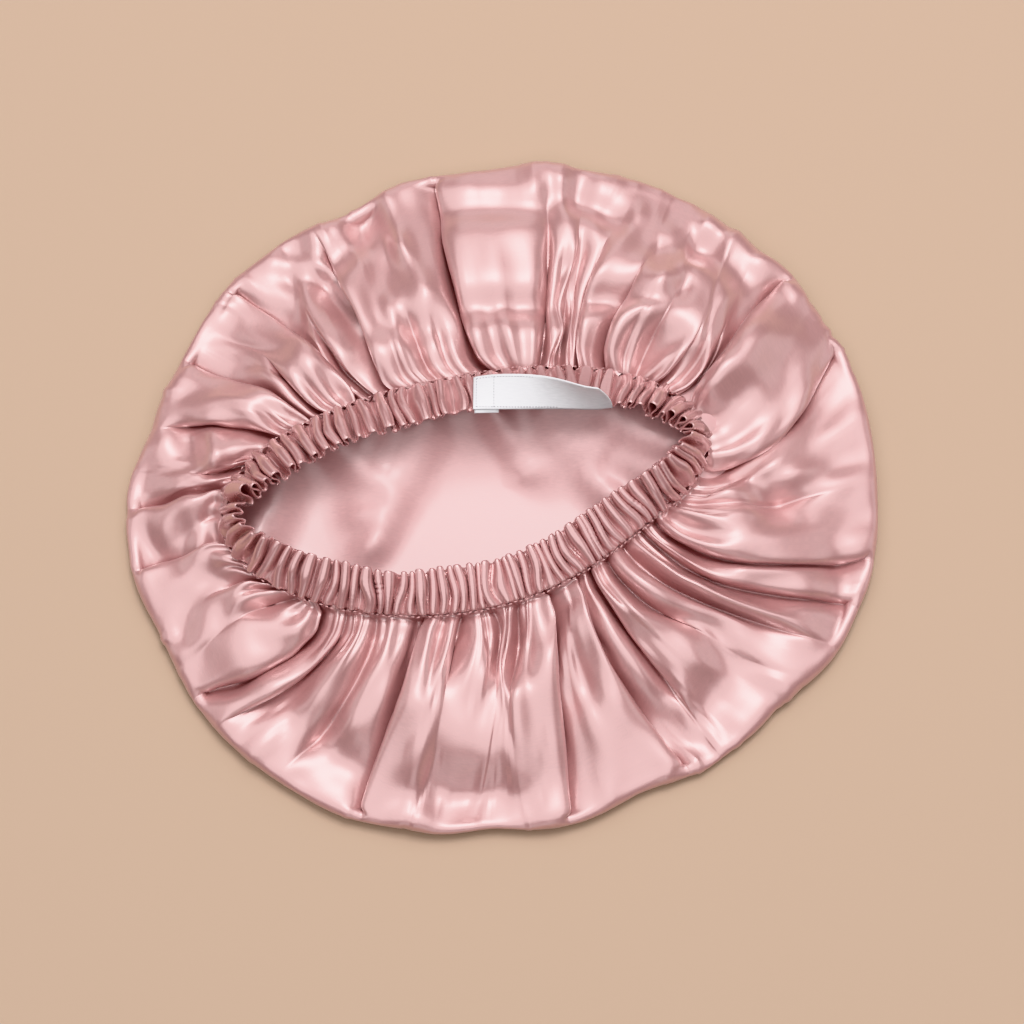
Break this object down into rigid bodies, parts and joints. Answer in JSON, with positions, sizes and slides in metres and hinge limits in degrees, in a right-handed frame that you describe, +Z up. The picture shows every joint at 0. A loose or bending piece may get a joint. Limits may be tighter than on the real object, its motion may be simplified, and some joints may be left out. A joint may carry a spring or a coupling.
{
  "type": "satin sleep bonnet",
  "caption": "Satin sleep bonnet lying crown down: a round cloth crown gathered in radiating folds into a ruffled elastic mouth that faces up, with a blank label strip sewn on the band.",
  "frame": {"origin": "middle of the outline on the surface the bonnet lies on", "axes": "+X along the longer way across the bonnet, which is the long way of its mouth, +Y to the side of the mouth with the label, +Z up out of the mouth"},
  "size_m": [0.3378, 0.3114, 0.0514],
  "materials": {
    "satin": "dusty rose satin, smooth and softly shiny",
    "band_satin": "the same satin, ruffled over elastic",
    "label_tape": "white satin label tape, bare"
  },
  "bodies": {
    "root": {"crown": "satin", "elastic_band": "band_satin", "care_label": "label_tape"}
  },
  "joints": []
}
